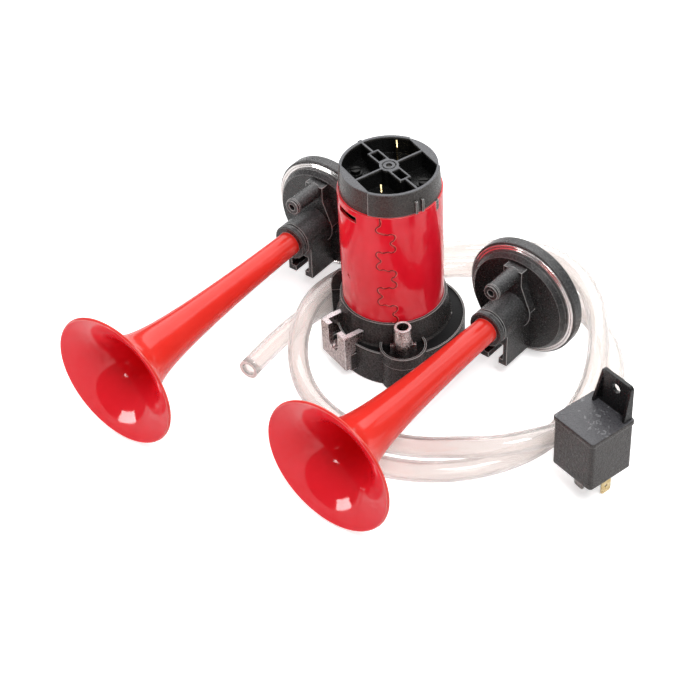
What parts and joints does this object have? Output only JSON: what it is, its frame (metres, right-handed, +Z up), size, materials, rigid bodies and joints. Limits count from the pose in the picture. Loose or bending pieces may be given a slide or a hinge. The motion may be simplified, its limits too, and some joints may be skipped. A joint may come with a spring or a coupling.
{
  "type": "car air horn",
  "caption": "Compressor-driven air horn outfit: upright electric compressor, long and short red trumpets, coiled clear hose and a cube relay, lying ready to be fitted.",
  "frame": {"origin": "on the floor under the compressor's motor axis", "axes": "+Z up along the motor's axis; +X to the right and +Y away from the viewer when both bells face front left"},
  "size_m": [0.2953, 0.2555, 0.1185],
  "materials": {
    "black_plastic": "satin moulded",
    "relay_plastic": "fine texture",
    "red_paint": "gloss",
    "red_gloss": "high gloss",
    "cast_aluminium": "as cast",
    "steel": "ground",
    "copper": "enamelled or bright copper",
    "brass": "bright",
    "sintered_bronze": "porous",
    "carbon": "pressed carbon",
    "ferrite": "ground",
    "filter_foam": "open foam",
    "laminate_board": "laminate",
    "clear_hose": "clear vinyl"
  },
  "bodies": {
    "outfit": {"base_housing": "black_plastic", "base_cover": "black_plastic", "intake_filter": "filter_foam", "pump_casting": "cast_aluminium", "pump_cover_plate": "steel", "pump_cover_screws": "steel", "motor_can": "red_paint", "motor_bearing_plate": "steel", "lower_bush": "sintered_bronze", "upper_bush": "sintered_bronze", "magnet_left": "ferrite", "magnet_right": "ferrite", "magnet_clips": "steel", "through_bolts": "steel", "motor_end_cap": "black_plastic", "brush_card": "laminate_board", "brush_boxes": "brass", "brush_back": "carbon", "brush_front": "carbon", "brush_springs": "steel", "terminal_back": "brass", "terminal_front": "brass", "air_hose": "clear_hose", "long_trumpet": "red_gloss", "long_horn_body": "black_plastic", "long_clamp_ring": "steel", "long_diaphragm": "steel", "long_rear_cover": "black_plastic", "short_trumpet": "red_gloss", "short_horn_body": "black_plastic", "short_clamp_ring": "copper", "short_diaphragm": "steel", "short_rear_cover": "black_plastic", "relay_cover": "relay_plastic", "relay_base": "relay_plastic", "relay_yoke": "steel", "relay_core": "steel", "relay_bobbin": "relay_plastic", "relay_winding": "copper", "relay_contact": "brass", "relay_spring": "brass", "relay_blade_contact": "brass", "relay_blade_common": "brass", "relay_blade_coil_left": "brass", "relay_blade_coil_right": "brass"},
    "motor_rotor": {"motor_shaft": "steel", "armature_core": "steel", "armature_windings": "copper", "commutator": "copper", "pump_rotor": "steel", "pump_vanes": "carbon"},
    "relay_armature": {"relay_armature": "steel"}
  },
  "joints": [
    {"name": "motor_spin", "type": "hinge", "parent": "outfit", "child": "motor_rotor", "pos_m": [0, 0, 0.06], "axis": [0, 0, 1], "continuous": true},
    {"name": "relay_pull", "type": "hinge", "parent": "outfit", "child": "relay_armature", "pos_m": [0.10027, -0.10934, 0.0367], "axis": [0.5821, -0.8131, 0], "range_deg": [0, 1.8], "stiffness_Nm_per_rad": 0.05, "springref_deg": -1.72}
  ]
}
